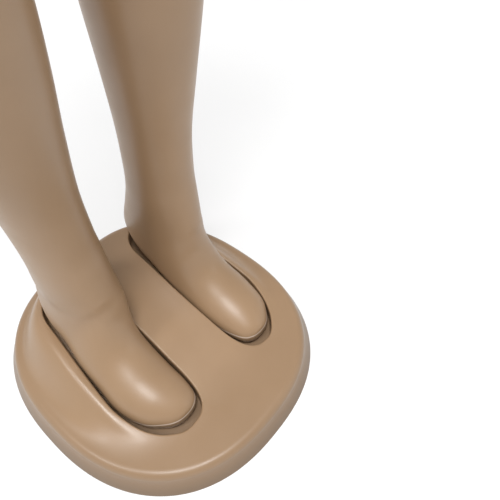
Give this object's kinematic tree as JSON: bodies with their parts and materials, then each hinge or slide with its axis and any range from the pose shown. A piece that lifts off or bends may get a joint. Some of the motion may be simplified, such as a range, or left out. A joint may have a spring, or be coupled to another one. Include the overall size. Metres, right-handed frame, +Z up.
{
  "type": "full body mannequin",
  "caption": "Standing full body display mannequin with turning head, arms and hands, its feet set in the wells of a rounded moulded base.",
  "frame": {"origin": "on the floor, below the mid-line of the figure, on the underside of the base", "axes": "+Z up; the figure faces -Y and its left side is +X"},
  "size_m": [0.5132, 0.366, 1.75],
  "materials": {
    "skin_plastic": "satin moulded plastic, warm tan",
    "nylon": "natural moulded nylon",
    "zinc_steel": "zinc plated",
    "steel_plate": "plain rolled steel",
    "rubber": "matte"
  },
  "bodies": {
    "figure": {"base_shell": "skin_plastic", "base_plate": "steel_plate", "plate_screws": "zinc_steel", "non_slip_pads": "rubber", "foot_bolts": "zinc_steel", "foot_washers": "zinc_steel", "foot_inserts": "zinc_steel", "left_leg": "skin_plastic", "right_leg": "skin_plastic", "left_hip_plug": "nylon", "right_hip_plug": "nylon", "left_hip_socket": "nylon", "right_hip_socket": "nylon", "hip_screws": "zinc_steel", "pelvis_shell": "skin_plastic", "waist_socket": "nylon", "waist_plug": "nylon", "waist_screws": "zinc_steel", "torso_shell": "skin_plastic", "neck_socket": "nylon", "neck_screws": "zinc_steel", "left_shoulder_socket": "nylon", "right_shoulder_socket": "nylon", "shoulder_screws": "zinc_steel"},
    "arm_left": {"left_arm": "skin_plastic", "left_shoulder_plug": "nylon", "left_arm_screws": "zinc_steel", "left_wrist_socket": "nylon"},
    "arm_right": {"right_arm": "skin_plastic", "right_shoulder_plug": "nylon", "right_arm_screws": "zinc_steel", "right_wrist_socket": "nylon"},
    "hand_left": {"left_hand": "skin_plastic", "left_wrist_peg": "nylon"},
    "hand_right": {"right_hand": "skin_plastic", "right_wrist_peg": "nylon"},
    "head": {"head_shell": "skin_plastic", "neck_plug": "nylon", "head_screws": "zinc_steel"}
  },
  "joints": [
    {"name": "head_turn", "type": "hinge", "parent": "figure", "child": "head", "pos_m": [0, 0.0315, 1.516], "axis": [0, 0, 1], "continuous": true},
    {"name": "shoulder_left", "type": "hinge", "parent": "figure", "child": "arm_left", "pos_m": [0.138, 0.05, 1.399], "axis": [1, 0, 0], "continuous": true},
    {"name": "shoulder_right", "type": "hinge", "parent": "figure", "child": "arm_right", "pos_m": [-0.138, 0.05, 1.399], "axis": [1, 0, 0], "continuous": true},
    {"name": "wrist_left", "type": "hinge", "parent": "arm_left", "child": "hand_left", "pos_m": [0.232, 0.019, 0.905], "axis": [-0.1392, 0, 0.9903], "continuous": true},
    {"name": "wrist_right", "type": "hinge", "parent": "arm_right", "child": "hand_right", "pos_m": [-0.232, 0.019, 0.905], "axis": [0.1392, 0, 0.9903], "continuous": true}
  ]
}
